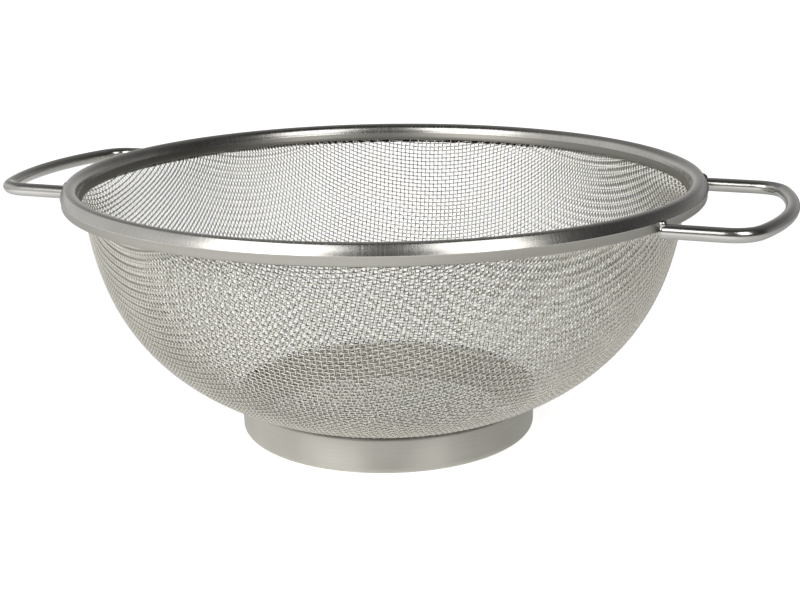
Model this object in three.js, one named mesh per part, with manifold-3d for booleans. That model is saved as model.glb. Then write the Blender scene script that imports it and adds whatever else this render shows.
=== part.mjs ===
// A footed sieve: a bowl of woven wire cloth held in a rolled rim, two wire
// handles welded to the rim, and a sheet ring for a foot.
// Millimetres, +Z up. The origin is on the floor under the middle of the foot,
// and the handles lie along X.

import * as THREE from 'three';
import { mergeVertices } from 'three/addons/utils/BufferGeometryUtils.js';
import Module from 'manifold-3d';

// Overall sizes
const overallHeight = 100;
const rimDiameter = 240;

// Fit between pieces that touch
const fitGap = 0.3;

// Rim: a hollow strip with a bead on top, a skirt outside and a wall inside
const rimSheet = 0.6;
const beadWidth = 7;
const beadRise = 2.3;
const beadTuck = 1.7;
const outerCreaseInset = 1.2;
const innerCreaseInset = 0.4;
const skirtInset = 0.6;
const skirtStep = 0.6;
const skirtDrop = 3.2;
const skirtEdgeRadius = 0.8;
const innerWallDrop = 3.5;
const innerWallLean = 2.1;
const clampLipStart = 0.8;
const clampLipLength = 1.4;
const clampLipRadius = 0.7;

// Wire cloth bowl
const clothThickness = 1.1;
const clothTuck = 4;
const flareLength = 3;
const kneeBlend = 1.2;
const wallLeanDeg = 6.4;
const wallFullness = 0.42;
const floorRiseDeg = 23;
const floorFullness = 0.69;
const flatMargin = 0.5;

// Openwork of the bowl: each strand stands for a bundle of the real, far finer wires
const strandPitch = 15.2;
const strandWidth = 4.5;
const strandThickness = 0.6;
const weaveTurnDeg = 10.4;
const hemOverlap = 2.5;

// Foot ring
const footDiameter = 113.6;
const footHeight = 13.8;
const footSheet = 0.8;
const footEdgeRadius = 2.5;
const footTopRadius = 1.2;
const footHemWidth = 4.6;
const footFlangeWidth = 3.4;

// Handles
const wireDiameter = 5;
const legSpacing = 83;
const legReach = 20.5;
const handleBow = 8.9;
const bendRun = 8;
const handleDrop = 6.85;
const weldRadius = 2.4;
const weldRise = 1.7;
const weldOffset = 1.5;

// Fineness of the curved surfaces
const turnSegments = 56;
const kneeSteps = 2;
const beadSteps = 5;
const cornerSteps = 2;
const footEdgeSteps = 4;
const handleSteps = 44;
const wireSides = 10;
const weldSides = 12;
const weldRings = 8;
const weldingDistance = 1e-4;

// Finishes
const finishes = {
  cloth: { color: 0xc6c4ba, metalness: 1, roughness: 0.36 },
  rim: { color: 0xbdbab2, metalness: 1, roughness: 0.24 },
  wire: { color: 0xb7b5af, metalness: 1, roughness: 0.2 },
  foot: { color: 0xb4b1a6, metalness: 1, roughness: 0.4 },
};

const wasm = await Module();
wasm.setup();

// Helpers

const at = (r, z) => new THREE.Vector2(r, z);

const heading = (degrees) => {
  const angle = THREE.MathUtils.degToRad(degrees);
  return at(Math.cos(angle), Math.sin(angle));
};

// A point moved a distance along a direction
const moved = (from, direction, distance) => from.clone().addScaledVector(direction, distance);

// A direction turned a quarter to its right
const rightOf = (direction) => at(direction.y, -direction.x);

// Points of an elliptical arc, both ends included
function arc(centre, rx, ry, fromDeg, toDeg, steps) {
  const points = [];
  for (let i = 0; i <= steps; i += 1) {
    const way = heading(fromDeg + ((toDeg - fromDeg) * i) / steps);
    points.push(at(centre.x + rx * way.x, centre.y + ry * way.y));
  }
  return points;
}

// The line beside a run of points, a set distance to its right
function beside(points, distance) {
  return points.map((point, i) => {
    const before = points[Math.max(i - 1, 0)];
    const after = points[Math.min(i + 1, points.length - 1)];
    const inward = i > 0 ? point.clone().sub(before).normalize() : after.clone().sub(point).normalize();
    const onward = i < points.length - 1 ? after.clone().sub(point).normalize() : inward;
    const bisector = rightOf(inward).add(rightOf(onward)).normalize();
    return moved(point, bisector, distance / bisector.dot(rightOf(onward)));
  });
}

// A section of even thickness, lying to the right of its face line
const sheetSection = (face, thickness) => [...beside(face, thickness), ...face.toReversed()];

// A solid turned round Z from a section whose points run anticlockwise
function turned(section) {
  const onAxis = section[0].x === 0;
  const outline = onAxis ? section : [...section, section[0]];
  return new THREE.LatheGeometry(outline, turnSegments).rotateX(Math.PI / 2);
}

// Geometry as a closed body that can be joined and cut
function bodyOf(geometry) {
  const bare = geometry.clone();
  bare.deleteAttribute('normal');
  bare.deleteAttribute('uv');
  const welded = mergeVertices(bare, weldingDistance);
  const corners = welded.index.array;
  const kept = [];
  for (let i = 0; i < corners.length; i += 3) {
    const [a, b, c] = corners.slice(i, i + 3);
    if (a !== b && b !== c && c !== a) {
      kept.push(a, b, c);
    }
  }
  return new wasm.Manifold(new wasm.Mesh({
    numProp: 3,
    vertProperties: new Float32Array(welded.attributes.position.array),
    triVerts: new Uint32Array(kept),
  }));
}

function geometryOf(body) {
  const mesh = body.getMesh();
  const geometry = new THREE.BufferGeometry();
  geometry.setAttribute('position', new THREE.BufferAttribute(mesh.vertProperties, 3));
  geometry.setIndex(new THREE.BufferAttribute(mesh.triVerts, 1));
  geometry.computeVertexNormals();
  return geometry;
}

function piece(name, geometry, finish) {
  const mesh = new THREE.Mesh(geometry, new THREE.MeshStandardMaterial(finish));
  mesh.name = name;
  return mesh;
}

// Rim: its visible face runs from the inner wall over the bead and down the skirt

const rimRadius = rimDiameter / 2;
const beadLevel = overallHeight - beadRise;
const creaseLevel = beadLevel - beadTuck;
const beadMiddle = at(rimRadius - beadWidth / 2, beadLevel);
const innerCrease = at(rimRadius - beadWidth + innerCreaseInset, creaseLevel);
const outerCreaseRadius = rimRadius - outerCreaseInset;
const skirtRadius = rimRadius - skirtInset;
const skirtFoot = creaseLevel - skirtDrop;
const innerWallFoot = at(innerCrease.x - innerWallLean, creaseLevel - innerWallDrop);

const flareWay = innerCrease.clone().sub(innerWallFoot).normalize();
const flareOut = rightOf(flareWay);
const clothOffset = rimSheet + fitGap + clothThickness / 2;
const slotWidth = rimSheet + fitGap + clothThickness + fitGap;
const clampLipFoot = moved(moved(innerWallFoot, flareOut, slotWidth), flareWay, clampLipStart);
const clampLipBend = moved(clampLipFoot, flareOut, clampLipRadius);
const clampLipTurnDeg = THREE.MathUtils.radToDeg(flareOut.angle()) - 180;
const skirtEdge = at(skirtRadius - skirtEdgeRadius, skirtFoot + skirtEdgeRadius);

const innerFace = [
  innerWallFoot,
  ...arc(at(innerCrease.x, beadLevel), innerCreaseInset, beadTuck, 270, 180, cornerSteps),
  ...arc(beadMiddle, beadWidth / 2, beadRise, 180, 90, beadSteps).slice(1, -1),
];
const outerFace = [
  ...arc(beadMiddle, beadWidth / 2, beadRise, 90, 0, beadSteps),
  ...arc(at(outerCreaseRadius, beadLevel), outerCreaseInset, beadTuck, 0, -90, cornerSteps).slice(1),
  at(skirtRadius, creaseLevel - skirtStep),
  ...arc(skirtEdge, skirtEdgeRadius, skirtEdgeRadius, 0, -90, cornerSteps),
];
const clampFace = [
  ...arc(clampLipBend, clampLipRadius, clampLipRadius, 270, clampLipTurnDeg, cornerSteps),
  moved(clampLipFoot, flareWay, clampLipLength),
];
const rimFace = [...innerFace, ...outerFace, ...clampFace];

const rim = piece('rim', turned(sheetSection(rimFace, rimSheet)), finishes.rim);

// Bowl: a flat bottom, a rounded wall, and a flared edge clamped in the rim

const footRadius = footDiameter / 2;
const flatLevel = footHeight + fitGap + strandThickness / 2;
const flatEdge = at(footRadius + flatMargin, flatLevel);
const clothEntry = moved(innerWallFoot, flareOut, clothOffset);
const clothTop = moved(clothEntry, flareWay, clothTuck);
const knee = moved(clothEntry, flareWay, -flareLength);
const wallWay = heading(90 - wallLeanDeg);
const wallTop = moved(knee, wallWay, -kneeBlend);
const wallHandle = wallFullness * (wallTop.y - flatLevel);
const floorWay = heading(floorRiseDeg);
const floorHandle = (floorFullness * (wallTop.x - flatEdge.x)) / floorWay.x;

const wallCurve = new THREE.CubicBezierCurve(
  flatEdge,
  moved(flatEdge, floorWay, floorHandle),
  moved(wallTop, wallWay, -wallHandle),
  wallTop,
);
const kneeCurve = new THREE.QuadraticBezierCurve(wallTop, knee, moved(knee, flareWay, kneeBlend));

// The middle of the strands from the axis outwards, drawn on past the wall's top and trimmed later
const overrun = 2 * strandPitch;
const clothCurve = new THREE.CurvePath();
clothCurve.add(new THREE.LineCurve(at(0, flatLevel), flatEdge));
clothCurve.add(wallCurve);
clothCurve.add(new THREE.LineCurve(wallTop, moved(wallTop, wallWay, overrun)));
const drawnLength = clothCurve.getLength();
const clothLength = drawnLength - overrun;

// A point of the bowl from its place on the flat cloth, lifted towards the inside
function onCloth(across, along, lift) {
  const share = Math.hypot(across, along) / drawnLength;
  const outside = rightOf(clothCurve.getTangent(share));
  const { x: radius, y: level } = moved(clothCurve.getPoint(share), outside, -lift);
  const way = at(across, along).normalize();
  return [radius * way.x, radius * way.y, level];
}

// Crossed strands on the flat cloth, bent to the bowl. Even rows and columns of cells are
// strands, and cells that are odd both ways are the gaps between them.
function strandsGeometry() {
  const count = Math.ceil(clothLength / strandPitch);
  const edges = [];
  for (let i = -count; i <= count; i += 1) {
    edges.push(i * strandPitch - strandWidth / 2, i * strandPitch + strandWidth / 2);
  }

  const cornersOf = (i, j) => [[i, j], [i + 1, j], [i + 1, j + 1], [i, j + 1]];
  const onBowl = ([i, j]) => Math.hypot(edges[i], edges[j]) < clothLength;
  const isStrand = (i, j) => (i % 2 === 0 || j % 2 === 0) && cornersOf(i, j).some(onBowl);

  const positions = [];
  const addQuad = (a, b, c, d) => positions.push(...a, ...b, ...c, ...a, ...c, ...d);

  function addCell(i, j) {
    const corners = cornersOf(i, j);
    const inner = corners.map(([a, b]) => onCloth(edges[a], edges[b], strandThickness / 2));
    const outer = corners.map(([a, b]) => onCloth(edges[a], edges[b], -strandThickness / 2));
    addQuad(...inner);
    addQuad(...outer.toReversed());
    [[i, j - 1], [i + 1, j], [i, j + 1], [i - 1, j]].forEach((neighbour, side) => {
      if (!isStrand(...neighbour)) {
        const next = (side + 1) % corners.length;
        addQuad(outer[side], outer[next], inner[next], inner[side]);
      }
    });
  }

  for (let i = 0; i < edges.length - 1; i += 1) {
    for (let j = 0; j < edges.length - 1; j += 1) {
      if (isStrand(i, j)) {
        addCell(i, j);
      }
    }
  }
  const geometry = new THREE.BufferGeometry();
  geometry.setAttribute('position', new THREE.Float32BufferAttribute(positions, 3));
  return geometry.rotateZ(THREE.MathUtils.degToRad(weaveTurnDeg));
}

// The strands end in a closed hem, which flares out into the rim
function bowlGeometry() {
  const hemMiddle = [moved(wallTop, wallWay, -hemOverlap), ...kneeCurve.getPoints(kneeSteps), clothTop];
  const hemSection = [
    ...beside(hemMiddle, clothThickness / 2),
    ...beside(hemMiddle, -clothThickness / 2).toReversed(),
  ];
  const strands = bodyOf(strandsGeometry()).trimByPlane([0, 0, -1], -wallTop.y);
  return geometryOf(strands.add(bodyOf(turned(hemSection))));
}

const meshBowl = piece('mesh_bowl', bowlGeometry(), finishes.cloth);

// Foot ring: a band with a rounded lower edge, a hem to stand on and a flange on top

const footTopBend = at(footRadius - footTopRadius, footHeight - footTopRadius);
const footEdgeBend = at(footRadius - footEdgeRadius, footEdgeRadius);
const footFace = [
  at(footRadius - footFlangeWidth, footHeight),
  ...arc(footTopBend, footTopRadius, footTopRadius, 90, 0, cornerSteps),
  ...arc(footEdgeBend, footEdgeRadius, footEdgeRadius, 0, -90, footEdgeSteps),
  at(footRadius - footHemWidth, 0),
];

const footRing = piece('foot_ring', turned(sheetSection(footFace, footSheet)), finishes.foot);

// Handles: a bent wire with a weld at each end, cut to fit round the rim

class LevelPath extends THREE.Curve {
  constructor(path, level) {
    super();
    this.path = path;
    this.level = level;
  }

  getPoint(t) {
    const { x, y } = this.path.getPoint(t);
    return new THREE.Vector3(x, y, this.level);
  }
}

const legSide = legSpacing / 2;
const cornerReach = rimRadius + legReach;
const legEnd = Math.sqrt(skirtRadius ** 2 - legSide ** 2);
const handleLevel = overallHeight - handleDrop;

// The rim's outside grown by the fit gap, to cut the wire's ends
function rimCutter() {
  const outside = beside(outerFace, -fitGap).toReversed();
  return bodyOf(turned([
    at(0, 0),
    at(outside[0].x, 0),
    ...outside,
    at(0, outside.at(-1).y),
  ]));
}

function wirePath() {
  const bowRadius = (legSide ** 2 + handleBow ** 2) / (2 * handleBow);
  const bowCentre = cornerReach + handleBow - bowRadius;
  const bowEndAngle = Math.asin(legSide / bowRadius) - bendRun / bowRadius;
  const path = new THREE.Path();
  path.moveTo(legEnd - wireDiameter / 2, -legSide);
  path.lineTo(cornerReach - bendRun, -legSide);
  path.quadraticCurveTo(
    cornerReach,
    -legSide,
    bowCentre + bowRadius * Math.cos(bowEndAngle),
    -bowRadius * Math.sin(bowEndAngle),
  );
  path.absarc(bowCentre, 0, bowRadius, -bowEndAngle, bowEndAngle);
  path.quadraticCurveTo(cornerReach, legSide, cornerReach - bendRun, legSide);
  path.lineTo(legEnd - wireDiameter / 2, legSide);
  return new LevelPath(path, handleLevel);
}

function handleGeometry() {
  const wireCircle = arc(at(0, 0), wireDiameter / 2, wireDiameter / 2, 0, 360, wireSides).slice(1);
  const wire = new THREE.ExtrudeGeometry(new THREE.Shape(wireCircle), {
    steps: handleSteps,
    extrudePath: wirePath(),
    bevelEnabled: false,
  });
  let body = bodyOf(wire);
  for (const side of [-1, 1]) {
    const weld = new THREE.SphereGeometry(weldRadius, weldSides, weldRings);
    weld.translate(legEnd + weldOffset, side * legSide, handleLevel + weldRise);
    body = body.add(bodyOf(weld));
  }
  return geometryOf(body.subtract(rimCutter()));
}

const handleShape = handleGeometry();
const handleRight = piece('handle_right', handleShape, finishes.wire);
const handleLeft = piece('handle_left', handleShape.clone(), finishes.wire);
handleLeft.rotation.z = Math.PI;

const sieve = new THREE.Group();
sieve.name = 'footed_sieve';
sieve.add(meshBowl, rim, handleRight, handleLeft, footRing);

export default sieve;
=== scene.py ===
"""Looks of a footed sieve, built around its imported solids.

The bowl is woven from single wires. The rim, the foot and the handles are smooth shells in the same
places and sizes as the solids. Sizes of the pieces are in millimetres until a mesh is made. Places in the
studio and depths and distances in the materials are in metres.
"""

import math

import bpy
import numpy as np
from mathutils import Matrix, Vector


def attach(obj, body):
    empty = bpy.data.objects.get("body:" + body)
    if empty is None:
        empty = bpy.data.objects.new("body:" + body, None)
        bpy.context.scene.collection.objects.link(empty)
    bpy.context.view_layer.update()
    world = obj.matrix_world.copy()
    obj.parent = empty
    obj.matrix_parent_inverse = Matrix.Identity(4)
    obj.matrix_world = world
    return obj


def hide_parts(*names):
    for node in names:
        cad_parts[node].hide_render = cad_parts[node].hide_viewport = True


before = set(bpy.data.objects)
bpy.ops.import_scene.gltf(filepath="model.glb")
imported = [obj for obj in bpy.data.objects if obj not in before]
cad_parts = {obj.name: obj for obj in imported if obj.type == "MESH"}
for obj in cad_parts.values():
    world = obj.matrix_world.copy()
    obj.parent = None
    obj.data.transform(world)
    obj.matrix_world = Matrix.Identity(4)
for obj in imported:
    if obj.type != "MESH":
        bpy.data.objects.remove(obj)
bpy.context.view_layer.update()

MM = 0.001
TINY = 1e-12

# Rim
OVERALL_HEIGHT = 100.0
RIM_RADIUS = 120.0
RIM_SHEET = 0.6
BEAD_WIDTH = 6.8
BEAD_HEIGHT = 3.8
# Corners of the frame round the bead, from its inner crease
BEAD_FRAME = (
    (0.0, 0.0), (0.3, 1.3), (0.8, 2.5), (1.8, 3.45), (3.2, 3.75),
    (4.3, 3.6), (4.8, 3.42), (5.15, 2.95), (6.05, 1.5), (6.65, 0.1),
)
SKIRT_INSET = 0.45
SKIRT_STEP = 0.4
SKIRT_DROP = 3.4
SKIRT_EDGE_RADIUS = 0.8
INNER_WALL_DROP = 2.6
INNER_WALL_LEAN = 0.8
# Distance from the top of the inner wall, which is painted with shade, to the polished bead
SHADE_MARGIN = 0.1
CLAMP_LIP_START = -0.3
CLAMP_LIP_LENGTH = 1.4
CLAMP_LIP_RADIUS = 0.7
SEAM_ANGLE = math.radians(-72.4)
SEAM_WIDTH = 0.5
SEAM_DEPTH = 0.02
# Places across the seam as shares of its width, and the dents there as shares of its depth
SEAM_PROFILE = ((-1.5, 0.0), (-0.6, 0.15), (0.0, 1.0), (0.6, 0.15), (1.5, 0.0))
RIM_COLUMNS = 360
BEAD_BEND_POINTS = 11

# Bowl
FIT_GAP = 0.3
CLOTH_THICKNESS = 1.1
CLOTH_TUCK = 3.0
KNEE_RADIUS = 111.0
KNEE_LEVEL = 89.2
KNEE_BLEND = 1.2
WALL_LEAN = math.radians(6.4)
WALL_FULLNESS = 0.42
WALL_POINTS = 200
FLOOR_RISE = math.radians(23.0)
FLOOR_FULLNESS = 0.69
FLAT_MARGIN = 0.5
# The cloth's line runs past both of its ends while it is smoothed over a number of short steps
LINE_STEP = 0.25
LINE_SMOOTHING = 25
LINE_RUN_IN = 40.0
LINE_RUN_ON = 20.0
AXIS_MARGIN = 0.05

# Weave
WEFT_PITCH = 1.87
WARP_PITCH = 1.67
WIRE_RADIUS = 0.24
WIRE_SIDES = 6
WEAVE_TURN = math.radians(10.4)
WEAVE_JITTER = 0.03
JITTER_SEED = 7
PIECES_PER_DIRECTION = 4
FEWEST_CROSSINGS = 3
# Crossings of the net beyond the edge of the cloth
NET_MARGIN = 3
# Search for a crossing: rounds, the nudge that finds the slopes, and the longest step
SEARCH_ROUNDS = 8
SEARCH_NUDGE = 1e-4
SEARCH_STRIDE = 0.5

# Foot
FOOT_RADIUS = 56.8
FOOT_HEIGHT = 13.8
FOOT_SHEET = 0.8
FOOT_EDGE_RADIUS = 2.5
FOOT_TOP_RADIUS = 1.2
FOOT_HEM_WIDTH = 4.6
FOOT_FLANGE_WIDTH = 3.4
# Width of the band of painted shade on the cloth over the foot's top edge
FOOT_JOIN_SHADE_WIDTH = 3.0
FOOT_COLUMNS = 240

# Handles
HANDLE_WIRE_RADIUS = 2.5
LEG_SIDE = 41.5
LEG_REACH = 20.5
HANDLE_BOW = 8.9
BEND_RUN = 8.0
HANDLE_DROP = 6.85
HANDLE_SIDES = 28
# Points along each leg and each bend, and steps along half of the bow
HANDLE_POINTS = 24

# Weld beads of the handles: balls, cut short at the poles, with ripples round them and swells along them
WELD_RADIUS = 1.9
WELD_RISE = 2.3
WELD_OFFSET = 0.3
WELD_RINGS = 17
WELD_SIDES = 24
WELD_POLE = 0.08
WELD_RIPPLES = 3
WELD_RIPPLE_SHARE = 0.05
WELD_SWELLS = 4
WELD_SWELL_SHARE = 0.03
WELD_SWELL_PHASE = 1.0

# Meshes: the least angle of a sharp edge, and the free share on either side of a tube's texture strip
SHARP_ANGLE = math.radians(35)
STRIP_MARGIN = 0.1

# Camera
CAMERA_TARGET = Vector((0.0, 0.0, 0.050))
CAMERA_DISTANCE = 0.5535
CAMERA_AZIMUTH = math.radians(21.15)
CAMERA_ELEVATION = math.radians(15.584)
CAMERA_YAW = math.radians(0.531)
CAMERA_PITCH = math.radians(-0.086)
CAMERA_ROLL = math.radians(-0.973)
CAMERA_LENS = 64.45
CAMERA_CLIP = (0.01, 50.0)
SENSOR_WIDTH = 36.0

# Finishes along a section of sheet, with painted shade among them: the polished one has grain, the others
# have one colour and roughness
POLISHED, DULL, PAINTED_SHADE, PAINTED_DEEP_SHADE = 0.0, 1.0, 2.0, 3.0
PLAIN_FINISHES_AND_SHADES = (
    (DULL, (0.43, 0.417, 0.378), 0.45),
    # Painted shade on the rim's inner wall and inside the foot
    (PAINTED_SHADE, (0.30, 0.288, 0.26), 0.4),
    # Painted deep shade inside the rim's roll and on its clamping lip
    (PAINTED_DEEP_SHADE, (0.05, 0.048, 0.044), 0.6),
)
# Painted shade on the cloth where it lies on the foot's top edge
FOOT_JOIN_SHADE = (0.12, 0.114, 0.102)
STREAK_NOISE = {"Scale": 1.0, "Detail": 5.0, "Roughness": 0.65}
STAIN_NOISE = {"Scale": 35.0, "Detail": 3.0, "Roughness": 0.55}
# Levels of the noise at which steel is darkest and lightest, and at which it is smoothest and roughest
TONE_SPAN = (0.12, 0.38)
GLOSS_SPAN = (0.3, 0.7)
BUMP_DEPTH = 0.0001
FOOT_BRUSHING = 0.9
BRUSHING_TURN = 0.25
# Sockets of a mix node: its two inputs and its output
MIX_SOCKETS = {"FLOAT": (2, 3, 0), "RGBA": (6, 7, 2)}

# Studio
UP = (0.0, 0.0, 1.0)
FRONT = (math.sin(CAMERA_AZIMUTH), -math.cos(CAMERA_AZIMUTH), 0.0)
BACK = (-math.sin(CAMERA_AZIMUTH), math.cos(CAMERA_AZIMUTH), 0.0)
RIGHT = (math.cos(CAMERA_AZIMUTH), math.sin(CAMERA_AZIMUTH), 0.0)
LEFT = (-math.cos(CAMERA_AZIMUTH), -math.sin(CAMERA_AZIMUTH), 0.0)
FLOOR_HALF = 8.0
PAPER = 0.9
# Brightness of the floor by distance in metres, to the eye and in reflections
FLOOR_GLOW = ((0.25, 0.8), (0.70, 1.0))
FLOOR_SHEEN = ((0.06, 0.44), (0.18, 0.48), (0.28, 0.70), (0.42, 0.75), (0.60, 0.65), (1.00, 0.40))
# Brightness in reflections of the backdrop and the left wall by height, and of the room round the camera
BACKDROP = ((0.05, 0.75), (0.20, 0.45), (0.40, 0.25), (0.85, 0.20))
LEFT_WALL = ((0.05, 0.70), (0.50, 0.70), (0.80, 0.15))
FRONT_GLOOM = 0.04
# Shares of the brightness in reflections that are left at the right and behind the object
RIGHT_SHARE = 0.35
BEHIND_SHARE = 0.6
# Spans over which one side passes into the other: on the floor in metres, in the room along a direction
FLOOR_RIGHT_FADE = (0.0, 0.20)
FLOOR_BEHIND_FADE = (-0.06, 0.10)
ROOM_RIGHT_FADE = (0.0, 0.8)
ROOM_FRONT_FADE = (-0.35, -0.05)
ROOM_LEFT_FADE = (0.55, 0.80)
# Soft panels beside the camera, placed as it sees them
PANELS = (
    {"name": "left_panel", "right": -0.475, "front": 0.55, "up": 0.58,
     "width": 0.55, "height": 0.46, "radiance": 3.6},
    {"name": "right_panel", "right": 0.39, "front": 0.58, "up": 0.58,
     "width": 0.38, "height": 0.46, "radiance": 3.4},
)


# Curve helpers

def pair(across, along):
    """A point or a step in a plane."""
    return np.array([across, along], float)


def heading(angle):
    return pair(math.cos(angle), math.sin(angle))


def right_of(way):
    return np.stack([way[..., 1], -way[..., 0]], -1)


def unit(vectors):
    length = np.linalg.norm(vectors, axis=-1, keepdims=True)
    return vectors / np.maximum(length, TINY)


def running_length(points):
    """The length along a run of points up to each of them."""
    return np.concatenate([[0], np.cumsum(np.linalg.norm(np.diff(points, axis=0), axis=1))])


def arc(centre, radius, start, end, steps):
    """Points of an arc between two angles in degrees."""
    angles = np.radians(np.linspace(start, end, steps + 1))
    return np.stack([centre[0] + radius * np.cos(angles), centre[1] + radius * np.sin(angles)], 1)


def rounded_corner(start, corner, end, points):
    """Points of a curve from a start to an end that leaves and arrives in line with a corner."""
    t = np.linspace(0, 1, points)[:, None]
    return (1 - t) ** 2 * start + 2 * (1 - t) * t * corner + t ** 2 * end


def beside(points, distance):
    """The line beside a run of points, a set distance to its right."""
    ways = unit(np.diff(points, axis=0))
    inward = np.vstack([ways[:1], ways])
    onward = np.vstack([ways, ways[-1:]])
    bisector = unit(right_of(inward) + right_of(onward))
    reach = distance / (bisector * right_of(onward)).sum(1, keepdims=True)
    return points + bisector * reach


def rounded_end(outer, inner, steps=4):
    """Points between the two corners of a sheet's cut edge, on a half circle."""
    middle = (outer + inner) / 2
    across = (outer - inner) / 2
    out = np.array([-across[1], across[0]])
    angles = np.linspace(0, math.pi, steps + 1)[1:-1]
    return np.array([middle + across * math.cos(a) + out * math.sin(a) for a in angles])


def marked_face(runs):
    """The points of a face line and the finishes and painted shades on them, from runs of points that each
    have one such mark.
    """
    face = np.vstack([points for _, points in runs])
    finish_and_shade = np.concatenate([np.full(len(points), kind) for kind, points in runs])
    return face, finish_and_shade


def sheet_section(face, finish_and_shade, thickness, back_finish_and_shade):
    """A closed section of even thickness to the right of its face line, with rounded cut edges.

    Each point of the face has its own mark, which sets its surface and any painted shade, and the back of
    the sheet has one.
    """
    back = beside(face, thickness)
    far_end = rounded_end(back[-1], face[-1])
    near_end = rounded_end(face[0], back[0])
    section = np.vstack([back, far_end, face[::-1], near_end])
    behind = np.full(len(back) + len(far_end), back_finish_and_shade)
    return section, np.concatenate([behind, finish_and_shade[::-1], np.full(len(near_end), finish_and_shade[0])])


def turn_about_axis(angle):
    """A matrix that turns rows of points about Z."""
    cos, sin = math.cos(angle), math.sin(angle)
    return np.array([[cos, sin, 0], [-sin, cos, 0], [0, 0, 1]])


# Mesh helpers

def build_mesh(name, vertices, polygons, layers):
    """An object from vertices in millimetres, lists of polygons, and texture coordinates for each corner."""
    mesh = bpy.data.meshes.new(name)
    corners = np.concatenate([p.ravel() for p in polygons]).astype(np.int32)
    sizes = np.concatenate([np.full(len(p), p.shape[1]) for p in polygons])
    starts = np.concatenate([[0], np.cumsum(sizes)[:-1]]).astype(np.int32)
    mesh.vertices.add(len(vertices))
    mesh.vertices.foreach_set("co", (vertices * MM).astype(np.float32).ravel())
    mesh.loops.add(len(corners))
    mesh.loops.foreach_set("vertex_index", corners)
    mesh.polygons.add(len(starts))
    mesh.polygons.foreach_set("loop_start", starts)
    mesh.polygons.foreach_set("use_smooth", np.ones(len(starts), bool))
    mesh.update(calc_edges=True)
    for layer_name, values in layers.items():
        layer = mesh.uv_layers.new(name=layer_name)
        layer.data.foreach_set("uv", values.astype(np.float32).ravel())
    mesh.validate()
    piece = bpy.data.objects.new(name, mesh)
    bpy.context.scene.collection.objects.link(piece)
    return piece


def grid_quads(rows, columns, wrap_rows, wrap_columns):
    """Corner indices of the quads of a grid of vertices, and the unwrapped row and column of each corner."""
    i, j = np.meshgrid(np.arange(rows if wrap_rows else rows - 1),
                       np.arange(columns if wrap_columns else columns - 1), indexing="ij")
    i, j = i.ravel(), j.ravel()
    row = np.stack([i, i + 1, i + 1, i], 1)
    column = np.stack([j, j, j + 1, j + 1], 1)
    return (row % rows) * columns + column % columns, row, column


def even_columns(count):
    """Angles of even columns round the axis, and their dents, which are none."""
    return np.linspace(-math.pi, math.pi, count, endpoint=False), np.zeros(count)


def seamed_columns():
    """Angles of the rim's columns and their dents, with closer columns across the seam."""
    angles, dents = even_columns(RIM_COLUMNS)
    places, depths = np.array(SEAM_PROFILE).T
    across = places * SEAM_WIDTH / RIM_RADIUS + SEAM_ANGLE
    keep = (angles < across[0]) | (angles > across[-1])
    angles = np.concatenate([angles[keep], across])
    dents = np.concatenate([dents[keep], depths * SEAM_DEPTH])
    order = np.argsort(angles)
    return angles[order], dents[order]


def turned(name, section, finish_and_shade, angles, dents):
    """A closed section turned round Z and dented at some angles, marked with its finishes and painted
    shades.
    """
    ways = unit(np.roll(section, -1, 0) - np.roll(section, 1, 0))
    lines = section[None] - right_of(ways)[None] * dents[:, None, None]
    vertices = np.stack([lines[..., 0] * np.cos(angles)[:, None],
                         lines[..., 0] * np.sin(angles)[:, None],
                         lines[..., 1]], -1)
    quads, row, column = grid_quads(len(angles), len(section), True, True)
    turn = np.concatenate([angles, [angles[0] + 2 * math.pi]])
    along = running_length(np.vstack([section, section[:1]]))
    bake = np.stack([(turn[row] - turn[0]) / (2 * math.pi), along[column] / along[-1]], -1)
    grain = np.stack([turn[row] * section[:, 0].max() * MM, along[column] * MM], -1)
    piece = build_mesh(name, vertices.reshape(-1, 3), [quads], {"OFBake": bake, "Grain": grain})
    piece.data.set_sharp_from_angle(angle=SHARP_ANGLE)
    marks = piece.data.attributes.new("FinishAndShade", "FLOAT", "POINT")
    marks.data.foreach_set("value", np.tile(finish_and_shade, len(angles)).astype(np.float32))
    return piece


def tube(path, normals, radius, sides):
    """Rings of vertices round a path: one row of points for each place on the path."""
    ways = unit(np.gradient(path, axis=0))
    up = unit(normals - ways * (normals * ways).sum(1, keepdims=True))
    side = np.cross(ways, up)
    angles = np.arange(sides) * 2 * math.pi / sides
    spokes = up[:, None] * np.cos(angles)[None, :, None] + side[:, None] * np.sin(angles)[None, :, None]
    return path[:, None] + spokes * radius


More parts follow.
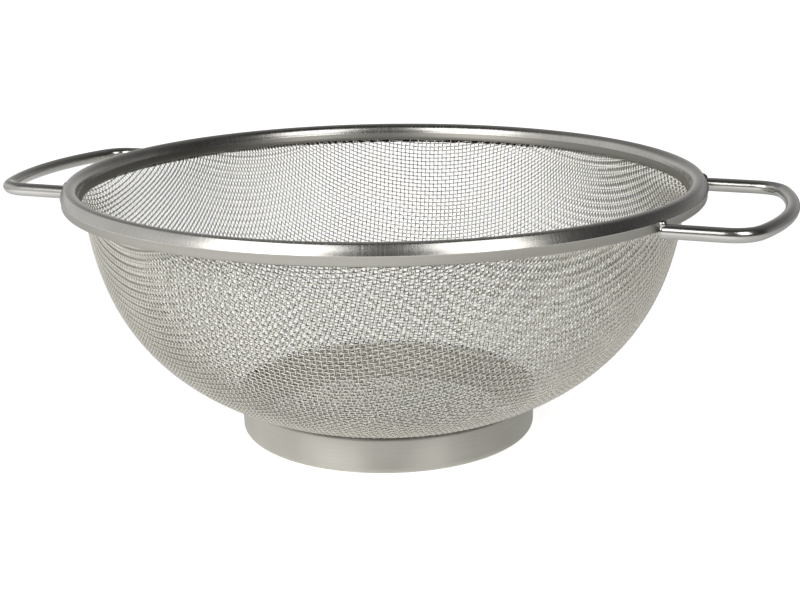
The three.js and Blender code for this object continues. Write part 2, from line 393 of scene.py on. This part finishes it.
def tubes_object(name, rings_list):
    """One object from many closed-ended tubes, each with its own strip of the texture and its own grain."""
    vertices, quads, caps = [], [], []
    bake, cap_bake, grain, cap_grain = [], [], [], []
    longest = max(len(rings) for rings in rings_list)
    strips = len(rings_list)
    base = 0
    for k, rings in enumerate(rings_list):
        count, sides = rings.shape[:2]
        cells, row, column = grid_quads(count, sides, False, True)
        along = running_length(rings.mean(1)) * MM
        girth = np.linalg.norm(rings[0, 0] - rings[0, 1]) * MM
        across = STRIP_MARGIN + (1 - 2 * STRIP_MARGIN) * column / sides
        vertices.append(rings.reshape(-1, 3))
        quads.append(cells + base)
        bake.append(np.stack([row / longest, (k + across) / strips], -1))
        grain.append(np.stack([along[row], column * girth + k], -1))
        for end, order in ((0, np.arange(sides)[::-1]), (count - 1, np.arange(sides))):
            caps.append(base + end * sides + order[None])
            spot = [end / longest, (k + STRIP_MARGIN / 2) / strips]
            cap_bake.append(np.tile(spot, (sides, 1)))
            cap_grain.append(np.tile([along[end], float(k)], (sides, 1)))
        base += count * sides
    layers = {
        "OFBake": np.concatenate([np.concatenate(bake).reshape(-1, 2), np.concatenate(cap_bake)]),
        "Grain": np.concatenate([np.concatenate(grain).reshape(-1, 2), np.concatenate(cap_grain)]),
    }
    return build_mesh(name, np.concatenate(vertices), [np.concatenate(quads), np.concatenate(caps)], layers)


# Sections of the rim, the foot and the bowl

CREASE_LEVEL = OVERALL_HEIGHT - BEAD_HEIGHT
INNER_CREASE = pair(RIM_RADIUS - BEAD_WIDTH, CREASE_LEVEL)
SKIRT_RADIUS = RIM_RADIUS - SKIRT_INSET
INNER_WALL_FOOT = INNER_CREASE - pair(INNER_WALL_LEAN, INNER_WALL_DROP)
FLARE_WAY = unit(INNER_CREASE - INNER_WALL_FOOT)
FLARE_OUT = right_of(FLARE_WAY)


def bead_arch():
    """The bead's upper side from inside to outside, rounded within its frame."""
    posts = [INNER_CREASE + pair(*step) for step in BEAD_FRAME]
    middles = [(a + b) / 2 for a, b in zip(posts, posts[1:])]
    bends = [rounded_corner(start, post, end, BEAD_BEND_POINTS)
             for start, post, end in zip(middles, posts[1:-1], middles[1:])]
    return np.vstack([posts[:1], *[bend[:-1] for bend in bends], middles[-1:], posts[-1:]])


def rim_section():
    """The rim's sheet from its inner wall over the bead and down the skirt to the clamping lip."""
    clamp_width = RIM_SHEET + FIT_GAP + CLOTH_THICKNESS + FIT_GAP
    lip_foot = INNER_WALL_FOOT + FLARE_OUT * clamp_width + FLARE_WAY * CLAMP_LIP_START
    lip_bend = lip_foot + FLARE_OUT * CLAMP_LIP_RADIUS
    lip_turn = math.degrees(math.atan2(FLARE_OUT[1], FLARE_OUT[0])) + 180
    skirt_edge = pair(SKIRT_RADIUS - SKIRT_EDGE_RADIUS, CREASE_LEVEL - SKIRT_DROP + SKIRT_EDGE_RADIUS)
    wall_middle = (INNER_WALL_FOOT + INNER_CREASE) / 2
    wall_top = INNER_CREASE - FLARE_WAY * SHADE_MARGIN
    return sheet_section(*marked_face([
        # The inner wall is painted with shade
        (PAINTED_SHADE, [INNER_WALL_FOOT, wall_middle, wall_top]),
        (POLISHED, bead_arch()),
        (DULL, [pair(SKIRT_RADIUS, CREASE_LEVEL - SKIRT_STEP)]),
        (DULL, arc(skirt_edge, SKIRT_EDGE_RADIUS, 0, -90, steps=6)),
        # The clamping lip is painted with deep shade
        (PAINTED_DEEP_SHADE, arc(lip_bend, CLAMP_LIP_RADIUS, 270, lip_turn, steps=4)),
        (PAINTED_DEEP_SHADE, [lip_foot + FLARE_WAY * CLAMP_LIP_LENGTH]),
    # The back of the sheet, inside the roll, is painted with deep shade
    ]), RIM_SHEET, PAINTED_DEEP_SHADE)


def foot_section():
    """The foot's sheet from its flange over the top bend and down the wall to the hem it stands on."""
    top_bend = pair(FOOT_RADIUS - FOOT_TOP_RADIUS, FOOT_HEIGHT - FOOT_TOP_RADIUS)
    edge_bend = pair(FOOT_RADIUS - FOOT_EDGE_RADIUS, FOOT_EDGE_RADIUS)
    return sheet_section(*marked_face([
        (DULL, [pair(FOOT_RADIUS - FOOT_FLANGE_WIDTH, FOOT_HEIGHT)]),
        (DULL, arc(top_bend, FOOT_TOP_RADIUS, 90, 70, steps=2)),
        (POLISHED, arc(top_bend, FOOT_TOP_RADIUS, 60, 0, steps=6)),
        (POLISHED, [pair(FOOT_RADIUS, FOOT_HEIGHT / 2)]),
        (POLISHED, arc(edge_bend, FOOT_EDGE_RADIUS, 0, -90, steps=12)),
        (POLISHED, [pair(FOOT_RADIUS - FOOT_HEM_WIDTH, 0)]),
    # The back of the sheet, inside the foot, is painted with shade
    ]), FOOT_SHEET, PAINTED_SHADE)


def cloth_line():
    """The middle of the cloth from the axis out to the rim and a little beyond, at even short steps.

    The level of the cloth's top edge comes with it.
    """
    flat_level = FOOT_HEIGHT + FIT_GAP + CLOTH_THICKNESS / 2
    flat_edge = pair(FOOT_RADIUS + FLAT_MARGIN, flat_level)
    entry = INNER_WALL_FOOT + FLARE_OUT * (RIM_SHEET + FIT_GAP + CLOTH_THICKNESS / 2)
    knee = pair(KNEE_RADIUS, KNEE_LEVEL)
    wall_way = heading(math.pi / 2 - WALL_LEAN)
    wall_top = knee - wall_way * KNEE_BLEND
    floor_way = heading(FLOOR_RISE)
    floor_pull = FLOOR_FULLNESS * (wall_top[0] - flat_edge[0]) / floor_way[0]
    wall_pull = WALL_FULLNESS * (wall_top[1] - flat_level)
    t = np.linspace(0, 1, WALL_POINTS)[:, None]
    wall = ((1 - t) ** 3 * flat_edge
            + 3 * (1 - t) ** 2 * t * (flat_edge + floor_way * floor_pull)
            + 3 * (1 - t) * t ** 2 * (wall_top - wall_way * wall_pull)
            + t ** 3 * wall_top)
    knee_end = knee + unit(entry - knee) * KNEE_BLEND
    top = entry + FLARE_WAY * CLOTH_TUCK
    beyond = top + FLARE_WAY * LINE_RUN_ON
    rough = np.vstack([pair(-LINE_RUN_IN, flat_level), wall, knee_end, entry, top, beyond])
    length = running_length(rough)
    even = np.arange(0, length[-1], LINE_STEP)
    smoothing = np.hanning(LINE_SMOOTHING)[1:-1]
    smoothing /= smoothing.sum()
    line = np.stack([np.convolve(np.interp(even, length, side), smoothing, "valid") for side in rough.T], 1)
    return np.vstack([pair(0, flat_level), line[line[:, 0] > AXIS_MARGIN]]), top[1]


LINE, CLOTH_TOP_LEVEL = cloth_line()
LINE_LENGTH = running_length(LINE)
LINE_NORMAL = -right_of(unit(np.gradient(LINE, axis=0)))
CLOTH_REACH = float(np.interp(CLOTH_TOP_LEVEL, LINE[:, 1], LINE_LENGTH))


def round_the_axis(flat, line):
    """Places or directions along the cloth's line, turned round Z to points of the cloth's flat map.

    On that map the distance from the middle is the length along the cloth.
    """
    length = np.linalg.norm(flat, axis=-1)
    out = np.interp(length, LINE_LENGTH, line[:, 0])[..., None]
    up = np.interp(length, LINE_LENGTH, line[:, 1])[..., None]
    way = flat / np.maximum(length, TINY)[..., None]
    return np.concatenate([way * out, up], -1)


def on_cloth(flat):
    return round_the_axis(flat, LINE)


def cloth_normal(flat):
    """Directions that point into the bowl."""
    return unit(round_the_axis(flat, LINE_NORMAL))


# Weave: wires that keep their length are laid over the bowl from its middle outwards

def quarter_net():
    """Flat-map places of the crossings in one quarter of the bowl; the rest mirror them."""
    n = int(CLOTH_REACH / WEFT_PITCH) + NET_MARGIN
    m = int(CLOTH_REACH / WARP_PITCH) + NET_MARGIN
    net = np.full((n, m, 2), np.nan)
    net[:, 0] = np.stack([np.arange(n) * WEFT_PITCH, np.zeros(n)], 1)
    net[0, :] = np.stack([np.zeros(m), np.arange(m) * WARP_PITCH], 1)
    for diagonal in range(2, n + m - 1):
        i = np.arange(max(1, diagonal - m + 1), min(n - 1, diagonal - 1) + 1)
        j = diagonal - i
        first, second, corner = net[i - 1, j], net[i, j - 1], net[i - 1, j - 1]
        near = np.fmin(np.linalg.norm(first, axis=1), np.linalg.norm(second, axis=1)) < CLOTH_REACH
        near &= ~np.isnan(first + second + corner).any(1)
        if near.any():
            net[i[near], j[near]] = crossing(first[near], second[near], corner[near])
    return net


def crossing(first, second, corner):
    """The points one pitch from each of two neighbouring crossings, by Newton steps on the flat map."""
    anchors = on_cloth(first), on_cloth(second)

    def miss(guess):
        place = on_cloth(guess)
        return np.stack([np.linalg.norm(place - anchors[0], axis=1) - WEFT_PITCH,
                         np.linalg.norm(place - anchors[1], axis=1) - WARP_PITCH], 1)

    guess = first + second - corner
    for _ in range(SEARCH_ROUNDS):
        error = miss(guess)
        slopes = [(miss(guess + SEARCH_NUDGE * axis) - error) / SEARCH_NUDGE for axis in np.eye(2)]
        step = np.linalg.solve(np.stack(slopes, -1), error[..., None])[..., 0]
        size = np.linalg.norm(step, axis=1, keepdims=True)
        guess = guess - step * np.minimum(1, SEARCH_STRIDE / np.maximum(size, TINY))
    return guess


def whole_net():
    """Flat-map places of all crossings, each a little out of line, and the side of the weft there.

    The side is 1 inside the bowl and -1 outside it.
    """
    quarter = quarter_net()
    n, m = quarter.shape[:2]
    i, j = np.meshgrid(np.arange(1 - n, n), np.arange(1 - m, m), indexing="ij")
    net = quarter[abs(i), abs(j)] * np.stack([np.sign(i), np.sign(j)], -1)
    jitter = np.random.default_rng(JITTER_SEED).normal(0, WEAVE_JITTER, net.shape)
    return net + jitter, (i + j) % 2 * 2 - 1


def wire_rings(places, lifts):
    """Rings of one woven wire through its crossings, passing over and under in turn."""
    inside = np.flatnonzero(np.linalg.norm(places, axis=1) < CLOTH_REACH)
    if len(inside) < FEWEST_CROSSINGS:
        return None
    span = slice(inside[0], inside[-1] + 1)
    core = places[span]
    flat = np.empty((2 * len(core) - 1, 2))
    flat[0::2] = core
    flat[1::2] = (core[1:] + core[:-1]) / 2
    height = np.zeros(len(flat))
    height[0::2] = lifts[span]
    normals = cloth_normal(flat)
    path = on_cloth(flat) + normals * (height * WIRE_RADIUS)[:, None]
    turn = turn_about_axis(WEAVE_TURN)
    return tube(path @ turn, normals @ turn, WIRE_RADIUS, WIRE_SIDES)


def split_evenly(rings_list, parts):
    """Neighbouring wires grouped into parts of about the same length."""
    share = np.cumsum([len(r) for r in rings_list])
    part = np.minimum((share - 1) * parts // share[-1], parts - 1)
    return [[r for r, p in zip(rings_list, part) if p == k] for k in range(parts)]


def weave():
    """The pieces of cloth: neighbouring wires of one direction in each."""
    net, over = whole_net()
    runs = {
        "cloth_weft": [wire_rings(net[:, j], over[:, j]) for j in range(net.shape[1])],
        "cloth_warp": [wire_rings(net[i], -over[i]) for i in range(net.shape[0])],
    }
    pieces = []
    for name, rings_list in runs.items():
        kept = [r for r in rings_list if r is not None]
        for k, group in enumerate(split_evenly(kept, PIECES_PER_DIRECTION)):
            pieces.append(tubes_object(f"{name}_{k + 1}", group))
    return pieces


# Handles

HANDLE_LEVEL = OVERALL_HEIGHT - HANDLE_DROP
LEG_END = math.sqrt(SKIRT_RADIUS ** 2 - LEG_SIDE ** 2)


def handle_path():
    """The middle of the right handle's wire, from one weld round to the other."""
    corner = RIM_RADIUS + LEG_REACH
    bow_radius = (LEG_SIDE ** 2 + HANDLE_BOW ** 2) / (2 * HANDLE_BOW)
    bow_centre = corner + HANDLE_BOW - bow_radius
    bow_end = math.asin(LEG_SIDE / bow_radius) - BEND_RUN / bow_radius
    bend_start = pair(corner - BEND_RUN, -LEG_SIDE)
    bend_end = pair(bow_centre + bow_radius * math.cos(bow_end), -bow_radius * math.sin(bow_end))
    t = np.linspace(0, 1, HANDLE_POINTS)[:, None]
    leg = pair(LEG_END, -LEG_SIDE) * (1 - t) + bend_start * t
    bend = rounded_corner(bend_start, pair(corner, -LEG_SIDE), bend_end, HANDLE_POINTS)
    half_bow = arc(pair(bow_centre, 0), bow_radius, -math.degrees(bow_end), 0, HANDLE_POINTS)
    half = np.vstack([leg, bend[1:], half_bow[1:]])
    path = np.vstack([half, (half * [1, -1])[-2::-1]])
    return np.hstack([path, np.full((len(path), 1), HANDLE_LEVEL)])


def weld_rings(side):
    """A weld bead on the end of a leg, as rings of a lumpy ball."""
    centre = np.array([LEG_END + WELD_OFFSET, side * LEG_SIDE, HANDLE_LEVEL + WELD_RISE])
    last = math.pi / 2 - WELD_POLE
    lat = np.linspace(-last, last, WELD_RINGS)[:, None]
    lon = np.linspace(0, 2 * math.pi, WELD_SIDES, endpoint=False)
    ball = np.stack([np.cos(lat) * np.cos(lon), np.cos(lat) * np.sin(lon),
                     np.repeat(np.sin(lat), WELD_SIDES, 1)], -1)
    ripples = WELD_RIPPLE_SHARE * np.sin(WELD_RIPPLES * lon + side) * np.cos(lat)
    swells = WELD_SWELL_SHARE * np.sin(WELD_SWELLS * lat + WELD_SWELL_PHASE)
    lumps = 1 + ripples + swells
    return centre + ball * lumps[..., None] * WELD_RADIUS


def handle(name, angle):
    """A wire loop and its two weld beads, turned round to its side of the rim."""
    path = handle_path()
    normals = np.tile(UP, (len(path), 1))
    turn = turn_about_axis(angle)
    wire = tube(path, normals, HANDLE_WIRE_RADIUS, HANDLE_SIDES) @ turn
    welds = [weld_rings(side) @ turn for side in (-1, 1)]
    return tubes_object(name, [wire]), tubes_object(name + "_welds", welds)


# Shader helpers

def grey(level):
    return (level, level, level, 1)


def add(tree, kind, inputs=None, **settings):
    """A node with its settings, whose inputs take values or are linked to sockets."""
    made = tree.nodes.new(kind)
    for key, value in settings.items():
        setattr(made, key, value)
    for key, value in (inputs or {}).items():
        if isinstance(value, bpy.types.NodeSocket):
            tree.links.new(value, made.inputs[key])
        else:
            made.inputs[key].default_value = value
    return made


def calculate(tree, operation, *numbers, **settings):
    made = add(tree, "ShaderNodeMath", dict(enumerate(numbers)), operation=operation, **settings)
    return made.outputs["Value"]


def length_of(tree, vector):
    return add(tree, "ShaderNodeVectorMath", {0: vector}, operation="LENGTH").outputs["Value"]


def rescale(tree, value, source=(0.0, 1.0), target=(0.0, 1.0)):
    """A value carried over from one range to another, and held at the ends."""
    ends = {"From Min": source[0], "From Max": source[1], "To Min": target[0], "To Max": target[1]}
    return add(tree, "ShaderNodeMapRange", {"Value": value, **ends}).outputs["Result"]


def mix(tree, kind, share, first, second):
    """A number or colour that goes from the first to the second as the share goes from 0 to 1."""
    first_socket, second_socket, result = MIX_SOCKETS[kind]
    inputs = {"Factor": share, first_socket: first, second_socket: second}
    return add(tree, "ShaderNodeMix", inputs, data_type=kind).outputs[result]


def ramp(tree, value, stops):
    """A colour that runs through pairs of position and colour."""
    made = add(tree, "ShaderNodeValToRGB", {"Fac": value})
    elements = made.color_ramp.elements
    for _ in stops[2:]:
        elements.new(1.0)
    for element, (position, colour) in zip(elements, stops):
        element.position = position
        element.color = colour
    return made.outputs["Color"]


def grey_ramp(tree, value, stops):
    return ramp(tree, value, [(position, grey(level)) for position, level in stops])


def towards(tree, vector, way, span=(0.0, 1.0)):
    """How far a place or direction lies along a way: 0 at the start of the span, 1 at its end."""
    reach = add(tree, "ShaderNodeVectorMath", {0: vector, 1: way}, operation="DOT_PRODUCT")
    return rescale(tree, reach.outputs["Value"], span)


def dimming(tree, vector, way, span, least):
    """A share of brightness that falls from 1 at the start of a span to its least at the end."""
    return rescale(tree, towards(tree, vector, way, span), target=(1.0, least))


# Materials

def steel(name, dark, light, roughness, grain, bump, brushing=0.0):
    """Steel with streaks along its grain, faint stains and a little bump, and over it the plain finishes and
    painted shades that the marks call for.
    """
    material = bpy.data.materials.new(name)
    material.use_nodes = True
    tree = material.node_tree
    shader = tree.nodes["Principled BSDF"]
    shader.inputs["Metallic"].default_value = 1.0
    place = add(tree, "ShaderNodeTexCoord").outputs["Object"]
    lines = add(tree, "ShaderNodeUVMap", uv_map="Grain").outputs["UV"]
    stretched = add(tree, "ShaderNodeMapping", {"Vector": lines, "Scale": grain}).outputs["Vector"]
    streaks = add(tree, "ShaderNodeTexNoise", {"Vector": stretched, **STREAK_NOISE}).outputs["Fac"]
    stains = add(tree, "ShaderNodeTexNoise", {"Vector": place, **STAIN_NOISE}).outputs["Fac"]
    tones = ((TONE_SPAN[0], (*dark, 1)), (TONE_SPAN[1], (*light, 1)))
    tone = ramp(tree, calculate(tree, "MULTIPLY", streaks, stains), tones)
    dullness = rescale(tree, streaks, GLOSS_SPAN, roughness)
    # Marks along the sheet lay plain finishes and painted shade over the steel
    finish_and_shade = add(tree, "ShaderNodeAttribute", attribute_name="FinishAndShade").outputs["Fac"]
    for mark, plain_tone, plain_roughness in PLAIN_FINISHES_AND_SHADES:
        share = rescale(tree, finish_and_shade, (mark - 1, mark))
        tone = mix(tree, "RGBA", share, tone, (*plain_tone, 1))
        dullness = mix(tree, "FLOAT", share, dullness, plain_roughness)
    if brushing:
        shader.inputs["Anisotropic"].default_value = brushing
        shader.inputs["Anisotropic Rotation"].default_value = BRUSHING_TURN
        around = add(tree, "ShaderNodeTangent", direction_type="UV_MAP", uv_map="Grain")
        tree.links.new(around.outputs["Tangent"], shader.inputs["Tangent"])
    relief = add(tree, "ShaderNodeBump", {"Height": streaks, "Strength": bump, "Distance": BUMP_DEPTH})
    tree.links.new(tone, shader.inputs["Base Color"])
    tree.links.new(dullness, shader.inputs["Roughness"])
    tree.links.new(relief.outputs["Normal"], shader.inputs["Normal"])
    return material


def paint_join_shade(material, radius, width):
    """A band round the axis painted darker as shade, where the cloth lies on the foot's top edge, with soft
    edges.
    """
    tree = material.node_tree
    base_colour = tree.nodes["Principled BSDF"].inputs["Base Color"]
    tone = base_colour.links[0].from_socket
    place = add(tree, "ShaderNodeTexCoord").outputs["Object"]
    level = add(tree, "ShaderNodeVectorMath", {0: place, 1: (1, 1, 0)}, operation="MULTIPLY")
    offset = calculate(tree, "SUBTRACT", length_of(tree, level.outputs["Vector"]), radius * MM)
    distance = calculate(tree, "ABSOLUTE", offset)
    share = rescale(tree, distance, (width / 4 * MM, width / 2 * MM), (1.0, 0.0))
    tree.links.new(mix(tree, "RGBA", share, tone, (*FOOT_JOIN_SHADE, 1)), base_colour)


def paint(piece, material, node):
    piece.data.materials.clear()
    piece.data.materials.append(material)
    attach(piece, "root")
    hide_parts(node)


rim_steel = steel("rim_steel", dark=(0.52, 0.505, 0.47), light=(0.64, 0.62, 0.585),
                  roughness=(0.23, 0.29), grain=(1500.0, 60.0, 1.0), bump=0.045)
foot_steel = steel("foot_steel", dark=(0.64, 0.625, 0.57), light=(0.76, 0.745, 0.68),
                   roughness=(0.42, 0.50), grain=(40.0, 3000.0, 1.0), bump=0.1, brushing=FOOT_BRUSHING)
wire_steel = steel("wire_steel", dark=(0.52, 0.51, 0.48), light=(0.64, 0.625, 0.59),
                   roughness=(0.18, 0.26), grain=(30.0, 1800.0, 1.0), bump=0.08)
cloth_steel = steel("cloth_steel", dark=(0.61, 0.592, 0.536), light=(0.75, 0.73, 0.664),
                    roughness=(0.14, 0.24), grain=(300.0, 4000.0, 1.0), bump=0.1)
# Painted shade on the cloth along the foot's top edge
paint_join_shade(cloth_steel, FOOT_RADIUS, FOOT_JOIN_SHADE_WIDTH)

# Pieces

for strands in weave():
    paint(strands, cloth_steel, "mesh_bowl")

rim = turned("rolled_rim", *rim_section(), *seamed_columns())
paint(rim, rim_steel, "rim")

foot = turned("ring_foot", *foot_section(), *even_columns(FOOT_COLUMNS))
paint(foot, foot_steel, "foot_ring")

for side_name, side_angle in (("right", 0.0), ("left", math.pi)):
    for part in handle(f"loop_{side_name}", side_angle):
        paint(part, wire_steel, f"handle_{side_name}")


# Camera

def make_camera():
    data = bpy.data.cameras.new("camera")
    camera = bpy.data.objects.new("camera", data)
    bpy.context.scene.collection.objects.link(camera)
    back = Vector((math.sin(CAMERA_AZIMUTH) * math.cos(CAMERA_ELEVATION),
                   -math.cos(CAMERA_AZIMUTH) * math.cos(CAMERA_ELEVATION),
                   math.sin(CAMERA_ELEVATION)))
    aim = (-back).to_track_quat("-Z", "Y").to_matrix().to_4x4()
    trim = (Matrix.Rotation(-CAMERA_YAW, 4, "Y") @ Matrix.Rotation(CAMERA_PITCH, 4, "X")
            @ Matrix.Rotation(CAMERA_ROLL, 4, "Z"))
    camera.matrix_world = Matrix.Translation(CAMERA_TARGET + back * CAMERA_DISTANCE) @ aim @ trim
    data.sensor_width = SENSOR_WIDTH
    data.lens = CAMERA_LENS
    data.clip_start, data.clip_end = CAMERA_CLIP
    bpy.context.scene.camera = camera


make_camera()


# Studio

def floor_material():
    """White paper that brightens itself for the eye, and in reflections less at the right and behind."""
    material = bpy.data.materials.new("pale_floor")
    material.use_nodes = True
    tree = material.node_tree
    tree.nodes.clear()
    paper = add(tree, "ShaderNodeBsdfDiffuse", {"Color": grey(PAPER)})
    place = add(tree, "ShaderNodeTexCoord").outputs["Object"]
    rays = add(tree, "ShaderNodeLightPath").outputs
    distance = length_of(tree, place)
    at_right = dimming(tree, place, RIGHT, FLOOR_RIGHT_FADE, RIGHT_SHARE)
    behind = dimming(tree, place, BACK, FLOOR_BEHIND_FADE, BEHIND_SHARE)
    around = calculate(tree, "MULTIPLY", at_right, behind)
    sheen = calculate(tree, "MULTIPLY", grey_ramp(tree, distance, FLOOR_SHEEN), around)
    bounced = calculate(tree, "ADD", rays["Is Glossy Ray"], rays["Is Transmission Ray"], use_clamp=True)
    seen = calculate(tree, "MULTIPLY", rays["Is Camera Ray"], grey_ramp(tree, distance, FLOOR_GLOW))
    strength = calculate(tree, "MULTIPLY_ADD", bounced, sheen, seen)
    glow = add(tree, "ShaderNodeEmission", {"Strength": strength})
    both = add(tree, "ShaderNodeAddShader", {0: paper.outputs["BSDF"], 1: glow.outputs["Emission"]})
    add(tree, "ShaderNodeOutputMaterial", {"Surface": both.outputs["Shader"]})
    return material


def make_floor():
    square = np.array([[-1, -1, 0], [1, -1, 0], [1, 1, 0], [-1, 1, 0]])
    bake = square[:, :2] / 2 + 0.5
    floor = build_mesh("floor", square * FLOOR_HALF / MM, [np.array([[0, 1, 2, 3]])], {"OFBake": bake})
    floor.data.materials.append(floor_material())


def softbox(name, right, front, up, width, height, radiance):
    """A rectangular area lamp that faces the object, at a place given from the camera's point of view."""
    data = bpy.data.lights.new(name, "AREA")
    data.shape = "RECTANGLE"
    data.size, data.size_y = width, height
    data.energy = radiance * math.pi * width * height
    lamp = bpy.data.objects.new(name, data)
    bpy.context.scene.collection.objects.link(lamp)
    lamp.location = Vector(RIGHT) * right + Vector(FRONT) * front + Vector(UP) * up
    lamp.rotation_euler = (CAMERA_TARGET - lamp.location).to_track_quat("-Z", "Y").to_euler()


def make_world():
    """White to the eye, and in reflections a backdrop, a wall at the left and gloom round the camera."""
    world = bpy.data.worlds.new("studio")
    bpy.context.scene.world = world
    world.use_nodes = True
    tree = world.node_tree
    way = add(tree, "ShaderNodeTexCoord").outputs["Generated"]
    rays = add(tree, "ShaderNodeLightPath").outputs
    height = towards(tree, way, UP)
    at_right = dimming(tree, way, RIGHT, ROOM_RIGHT_FADE, RIGHT_SHARE)
    backdrop = add(tree, "ShaderNodeVectorMath", {0: grey_ramp(tree, height, BACKDROP), "Scale": at_right},
                   operation="SCALE").outputs["Vector"]
    in_front = towards(tree, way, FRONT, ROOM_FRONT_FADE)
    at_left = towards(tree, way, LEFT, ROOM_LEFT_FADE)
    room = mix(tree, "RGBA", in_front, backdrop, grey(FRONT_GLOOM))
    walled = mix(tree, "RGBA", at_left, room, grey_ramp(tree, height, LEFT_WALL))
    seen = mix(tree, "RGBA", rays["Is Camera Ray"], walled, grey(1.0))
    tree.links.new(seen, tree.nodes["Background"].inputs["Color"])


make_floor()
make_world()
for panel in PANELS:
    softbox(**panel)

bpy.context.scene.view_settings.view_transform = "Standard"

bpy.context.view_layer.update()
